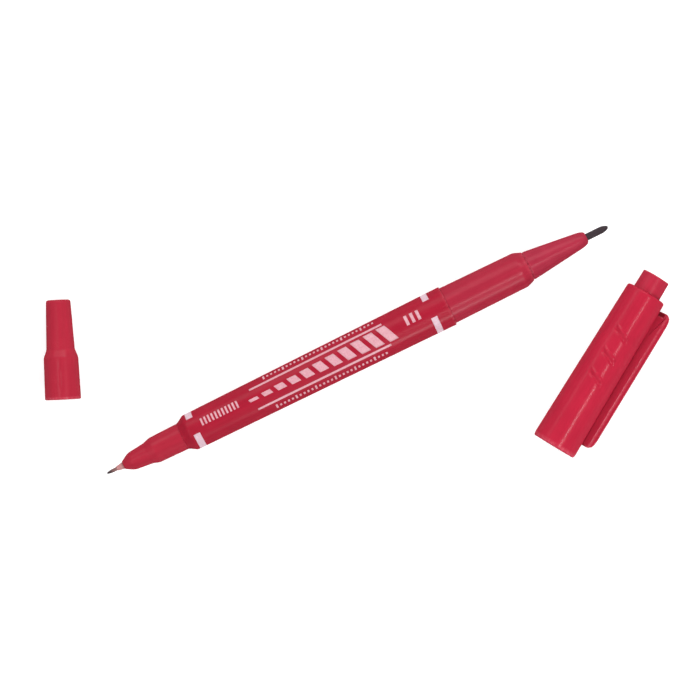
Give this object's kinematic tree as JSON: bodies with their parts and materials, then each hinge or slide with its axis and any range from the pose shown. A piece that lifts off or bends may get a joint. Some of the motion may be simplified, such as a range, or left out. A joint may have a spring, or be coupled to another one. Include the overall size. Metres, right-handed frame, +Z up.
{
  "type": "double-ended permanent marker",
  "caption": "Slim red twin-tip permanent marker with an extra-fine and a bullet nib, its clip cap and its small cap taken off and lying beside it.",
  "frame": {"origin": "middle of the bottom of the whole layout, on the surface that the pen and its caps lie on", "axes": "+X along the pen from its extra-fine end to its bullet end, +Z up from the surface"},
  "size_m": [0.141, 0.0864, 0.0108],
  "materials": {
    "red_gloss": "glossy moulded red plastic",
    "red_satin": "satin moulded red plastic",
    "nib_black": "ink-soaked dark nib",
    "natural_resin": "natural resin stained by ink",
    "inked_fibre": "ink-soaked fibre rod",
    "clear_film": "thin clear film"
  },
  "bodies": {
    "pen": {"barrel": "red_gloss", "fine_nib_holder": "red_satin", "fine_nib_sleeve": "natural_resin", "fine_nib": "nib_black", "cap_seat_collar": "red_satin", "bullet_nib_holder": "red_satin", "bullet_nib": "nib_black", "ink_reservoir": "inked_fibre", "reservoir_film": "clear_film"},
    "big_cap": {"big_cap_shell": "red_gloss", "big_cap_inner": "red_satin"},
    "clip": {"big_cap_clip": "red_gloss"},
    "small_cap": {"small_cap": "red_gloss"}
  },
  "joints": [
    {"name": "big_cap_pull", "type": "slide", "parent": "pen", "child": "big_cap", "axis": [0.8434, 0.5373, 0], "range_m": [0, 0.0413]},
    {"name": "small_cap_pull", "type": "slide", "parent": "pen", "child": "small_cap", "axis": [0.3955, 0.9184, 0], "range_m": [0, 0.0194]},
    {"name": "clip_flex", "type": "hinge", "parent": "big_cap", "child": "clip", "pos_m": [0.06502, -0.02171, 0.00334], "axis": [0.2258, -0.3544, 0.9074], "range_deg": [0, 4], "stiffness_Nm_per_rad": 1, "springref_deg": -0.57}
  ]
}
